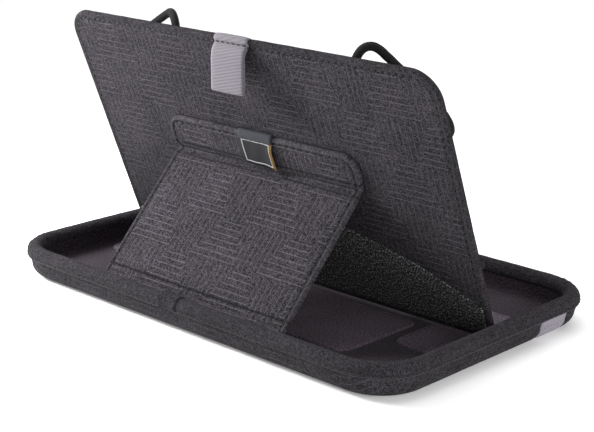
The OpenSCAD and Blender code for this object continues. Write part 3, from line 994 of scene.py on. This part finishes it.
def make_strut():
    length = FLAP_L + TONGUE_H
    border = [0, 0.1, 0.3, 0.6, 0.9, 1.2, 1.6, 2.0, 2.3, 2.6, 2.9, 3.4, 4.0]
    top = Disc(TONGUE_W, length, [TONGUE_R * 0.1] * 2 + [TONGUE_R] * 2, border, 0.95)
    x, v = top.points[:, 0], top.points[:, 1] + length / 2
    top.flat = np.c_[x, v]
    mesh = solid(top, top, *(strut_points(x, v, side, top.insets) for side in (1, -1)))
    obj = piece("strut_cloth_cover", *mesh, None, "panel_fabric", strut_cloth,
                ["flap_cover", "flap_lining", "tongue_cover", "tongue_lining"])
    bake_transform(obj)


def strut_rows(rows):
    """Stitch lines on the strut's outer face, from lists of (x, v)."""
    out = []
    for row in rows:
        p, _ = resample(np.array(row, float), 1.2)
        place = strut_points(*p.T, 1, np.full(len(p), STRUT_SEAM))
        _, normal = strut_path(p[:, 1])
        out.append(stitches(place, normal, pitch=4.1, length=3.2, width=0.7, sink=0.02))
    return out


def make_strut_stitches():
    edge = TONGUE_W / 2 - STRUT_SEAM
    sides = [[(s * edge, 4), (s * edge, TOP_HEM_V)] for s in (-1, 1)]
    hem = [[(-edge, HEM_V), (edge, HEM_V)], [(-edge, TOP_HEM_V), (edge, TOP_HEM_V)]]
    sew("flap_stitches", "flap", dark_thread, *strut_rows(sides + hem))
    top = FLAP_L + TONGUE_H - STRUT_SEAM
    r = TONGUE_R - STRUT_SEAM
    arc = [(edge - r + r * cos(a), top - r + r * sin(a)) for a in np.radians(np.linspace(0, 90, 7))]
    line = [(edge, TONGUE_V)] + arc
    line = line + [(-x, v) for x, v in reversed(line)]
    low = [(-edge, TONGUE_V), (edge, TONGUE_V)]
    sew("tongue_stitches", "panel", dark_thread, *strut_rows([line, low]))


def make_hinge_tape():
    """Cloth from the inside of the near wall up and over to the flap's lower edge."""
    lo, hi = box_mm("flap_hinge_tape")
    y = (lo[1] + hi[1]) / 2
    knots = [(0, y, lo[2]), (0, y, 8.5), (0, y + 0.05, 10.2), (0, HINGE[1] - 0.35, 11.2)]
    knots += [tuple(HINGE + FLAP_UP * t) for t in (0.6, 2.0, 3.5)]
    line = spline(knots, 5)
    normals = unit(np.cross(X, heading(line)))
    mesh = ribbon(line, X, normals, FLAP_W - 2, 0.6, cells=40)
    obj = piece("flap_hinge_cloth", *mesh, None, "binding", tape_cloth, ["flap_hinge_tape"])
    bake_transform(obj)


# ---- back panel

PANEL_BORDER = [0.9, 1.3, 1.8, 2.2, 2.6, 2.9, 3.2, 3.6, 4.2, 5.2, 6.8]


def make_panel_faces():
    disc = Disc(PANEL_W, PANEL_H, PANEL_RADII, PANEL_BORDER, 2.4)
    x, h = disc.points[:, 0], disc.points[:, 1] + PANEL_H / 2
    relief = -0.3 * dip(disc.insets, PANEL_SEAM, 0.4) + 0.1 * waves(x, h, 60, 31) * smooth(disc.insets, 3, 9)
    thin = 0.45
    disc.flat = np.c_[x, h]
    mesh = solid(disc, disc, on_panel(x, 0.12 + relief, h), on_panel(x, -thin, h))
    back = piece("panel_back_cloth", *mesh, "panel", "panel_fabric", panel_cloth, ["panel_cover"])
    mesh = solid(disc, disc, on_panel(x, thin - PANEL_T, h), on_panel(x, -PANEL_T - 0.12 - relief, h))
    front = piece("panel_front_cloth", *mesh, "panel", "lining", lining_cloth, ["panel_lining"])


def panel_ring(inset, cell=1.3):
    """Stations round the panel's outline at an inset, with outward directions."""
    nx, ny = round(PANEL_W / cell), round(PANEL_H / cell)
    p = inset_outline(PANEL_W, PANEL_H, PANEL_RADII, inset, nx, ny)
    r = np.where(p[:, 1] < 0, PANEL_FOOT_R, PANEL_R)
    return p, outwards(p, PANEL_W, PANEL_H, r)


def make_panel_edge():
    p, away = panel_ring(1.2)
    sides = 14
    a = 2 * pi * np.arange(sides) / sides
    wide, thick = 1.3, PANEL_T / 2 + 0.22
    cs, sn = (np.sign(c) * np.abs(c) ** 0.6 for c in (np.cos(a), np.sin(a)))
    run = arc_lengths(p)
    swell = 1 + 0.05 * waves(run, 0 * run, 14, 41)
    sections = np.zeros((len(p), sides, 3))
    for k in range(sides):
        at = p + away * (wide * cs[k] * swell)[:, None]
        sections[:, k] = on_panel(at[:, 0], -PANEL_T / 2 + thick * sn[k] * swell, at[:, 1] + PANEL_H / 2)
    mesh = tube(run, sections, closed=True)
    piece("panel_edge_binding", *mesh, "panel", "binding", edge_cloth, ["panel_binding"])
    line, _ = panel_ring(PANEL_SEAM)
    rows = []
    for off, out in ((-0.15, BACK), (0.15 - PANEL_T, -BACK)):
        place = on_panel(line[:, 0], off, line[:, 1] + PANEL_H / 2)
        rows.append(stitches(place, out, pitch=3.4, length=2.6, width=0.65, closed=True))
    sew("panel_stitches", "panel", dark_thread, *rows)


def make_loop_patch():
    """Pile under an arched top, with its lower corners as round as the panel's."""
    margin, top, arch, t = 2.5, 43.0, 220.0, 0.8
    w, r = PANEL_W - 2 * margin, PANEL_FOOT_R - margin
    disc = Disc(w, top, [0] * 4, [0, 0.3, 0.7, 1.2], 0.75)
    x, share = disc.points[:, 0], disc.points[:, 1] / top + 0.5
    past = np.clip(np.abs(x) - w / 2 + r, 0, r)
    low = margin + r - np.sqrt(r ** 2 - past ** 2)
    high = top - arch + np.sqrt(arch ** 2 - x ** 2)
    h = low + share * (high - low)
    inset = np.minimum(np.minimum(h - low, high - h), w / 2 - np.abs(x))
    disc.flat = np.c_[x, h]
    curl = waves(x, h, 2.4, 51, 4) + 0.7 * waves(x, h, 1.7, 52, 4)
    off = t * (0.2 + 0.7 * edge_roll(inset, 0.8)) + 0.16 * curl * smooth(inset, 0.3, 1.2) - 0.05
    mesh = solid(disc, disc, on_panel(x, off, h), on_panel(x, -0.05, h))
    piece("loop_pile", *mesh, "panel", "loop_pile", pile_cloth, ["loop_patch"])


def make_label():
    """Blank woven label: sewn over the tongue's top edge, its right-hand fold standing proud."""
    w, reach = span("label")[0], 15.0
    top = CREASE_H + TONGUE_H
    cols = np.linspace(-w / 2, w / 2, 17)
    knots = [(0.8, top + 0.2), (1.7, top + 0.65), (2.6, top + 0.45), (3.15, top - 0.6), (3.3, top - 2),
             (3.25, top - 3), (3.4, top - 5), (3.5, top - 9), (3.45, top - reach)]
    path = spline(np.array(knots), 4)
    step = heading(path)
    normal = np.c_[-step[:, 1], step[:, 0]]
    run = arc_lengths(path)
    thin, sections = 0.3, []
    for (off, h), n, r in zip(path, normal, run):
        down = smooth(np.float64(r), 3.0, 9.0)
        lift = 1.5 * down * np.clip((cols - 2) / (w / 2 - 2), 0, 1) ** 2
        lift = lift + 0.12 * np.sin(cols * 0.7 + r * 0.2) * down
        front = on_panel(cols, off + n[0] * thin + lift, h + n[1] * thin)
        rear = on_panel(cols[::-1], off - n[0] * thin + lift[::-1], h - n[1] * thin)
        sections.append(np.vstack([front, rear]))
    verts, faces, flat = tube(run, np.stack(sections))
    flat = np.c_[np.tile(np.r_[cols, cols[::-1]], len(path)), np.repeat(run[-1] - run, 2 * len(cols))]
    piece("blank_label", verts, faces, flat, "panel", "label", label_satin, ["label"])
    row = on_panel(np.linspace(-w / 2 + 0.6, w / 2 - 0.6, 9), 3.62, top - 2.6)
    sew("label_stitches", "panel", dark_thread, stitches(row, BACK, pitch=2.6, length=1.9, width=0.5))


def make_pull_tab():
    """Ribbon folded over the panel's top edge and sewn down, with its loop hanging free."""
    w, top = span("pull_tab_base")[0], PANEL_H
    base = spline(np.array([(-1.9, top - 0.6), (-1.1, top + 0.5), (0.2, top + 0.45), (0.85, top - 0.1),
                            (0.95, top - 0.8), (0.8, top - 1.5), (0.95, top - 2.4)]), 4)
    step = heading(base)
    line = on_panel(0.9, base[:, 0], base[:, 1])
    normals = unit((-step[:, 1])[:, None] * BACK + step[:, 0][:, None] * UP)
    verts, faces, flat = ribbon(line, X, normals, w, 1.2, cells=18)
    lumps = 0.14 * np.sin(verts[:, 0] * 2.1) * smooth(-(verts - FOOT) @ UP, 0.2 - top, 1.5 - top)
    verts = verts + lumps[:, None] * BACK
    piece("pull_tab_fold", verts, faces, flat, "panel", "ribbon", ribbon_cloth, ["pull_tab_base"])
    row = on_panel(np.linspace(-w / 2 + 0.4, w / 2 - 0.4, 9) + 0.9, 1.45, top - 1.5)
    sew("pull_tab_stitches", "panel", dark_thread, stitches(row, BACK, pitch=3.0, width=0.7))

    start = on_panel(0.9, 0.95, top - 1.9)
    low = box_mm("pull_tab")[0][2] + 0.3 - start[2]
    route = [(0, 0), (-0.8, -0.9), (-1.7, -2.2), (-2.4, -4.2), (-2.6, -8), (-2.5, -14), (-2.4, low + 0.8),
             (-1.98, low), (-1.56, low + 0.8), (-1.56, -14), (-1.56, -8), (-1.56, -4.5), (-0.6, -2.4), (0.1, -1)]
    line = spline([start + (0, y, z) for y, z in route], 6)
    normals = unit(np.cross(heading(line), X))
    mesh = ribbon(line, X, normals, w - 0.6, 0.75, cells=14)
    obj = piece("pull_tab_ribbon", *mesh, None, "ribbon", ribbon_cloth, ["pull_tab"])
    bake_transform(obj)


# ---- elastic corner loops

LOOP_D, LOOP_LIFT, LOOP_SIDE, LEFT_SPREAD = 3.6, 10, 7, 1.65
LOOP_ROUTE = [
    (44, 0, 3.6), (44, 0.9, 3.6), (44, 1.8, 3.6), (43.7, 3.1, 2.9), (43, 4.4, 1.4), (42, 5.8, 0.1),
    (40.6, 7.4, -0.5), (38.8, 8.9, -0.1), (36.8, 9.8, 1.4), (34, LOOP_LIFT, 3.9), (28, LOOP_LIFT, 9.4),
    (21, LOOP_LIFT, 16), (14, LOOP_LIFT, 23), (10.8, 9.6, 26.6), (8.4, 8.5, 29.1), (6.9, 6.8, 30.6),
    (6.6, 5.2, 31.4), (7.2, 3.8, 31.9), (8.6, 2.7, 32.1), (10, 1.8, 32.1), (10, 0.9, 32.1), (10, 0, 32.1)]


def make_loop(side, level, name):
    """Elastic loop round a tablet's corner; side and level are 1 for the +X and the top corner."""
    route = np.array(LOOP_ROUTE, float)
    spread = 1 if side > 0 else LEFT_SPREAD
    x = side * (PANEL_W / 2 - LOOP_SIDE - (route[:, 0] - LOOP_SIDE) * spread)
    h = PANEL_H / 2 + level * (PANEL_H / 2 - route[:, 2])
    path = spline(on_panel(x, -PANEL_T - route[:, 1], h), 5)
    t = heading(path)
    n = np.zeros_like(path)
    last = unit(X - (X @ t[0]) * t[0])
    for i in range(len(path)):
        last = unit(last - (last @ t[i]) * t[i])
        n[i] = last
    b = np.cross(t, n)
    run = arc_lengths(path)
    a = 2 * pi * np.arange(16) / 16
    r = LOOP_D / 2 * (1 + 0.02 * np.sin(run[:, None] * 5.7 + 3 * a))
    sections = path[:, None] + (r * np.cos(a))[..., None] * n[:, None] + (r * np.sin(a))[..., None] * b[:, None]
    mesh = tube(run, sections)
    obj = piece("elastic_" + name, *mesh, "panel", "black_elastic", elastic_cord, ["elastic_loop_" + name])


make_camera()
make_studio()
make_outer_cover()
make_rim()
make_binding_lap()
make_tray_lining()
for place in ("floor_{}", "end_{}_left", "end_{}_right"):
    make_floor_pad(place.format("pad"), place.format("rest"))
make_closure_band()
make_hinge_tape()
make_strut()
make_strut_stitches()
make_panel_faces()
make_panel_edge()
make_loop_patch()
make_label()
make_pull_tab()
for level, height in ((1, "top"), (-1, "bottom")):
    for side, hand in ((-1, "left"), (1, "right")):
        make_loop(side, level, height + "_" + hand)

for node in ("foam_shell", "panel_foam", "base_board", "panel_board", "flap_board", "tongue_board"):
    materials = frame["nodes"][node].data.materials
    materials.clear()
    materials.append(inner_foam if "foam" in node else inner_board)
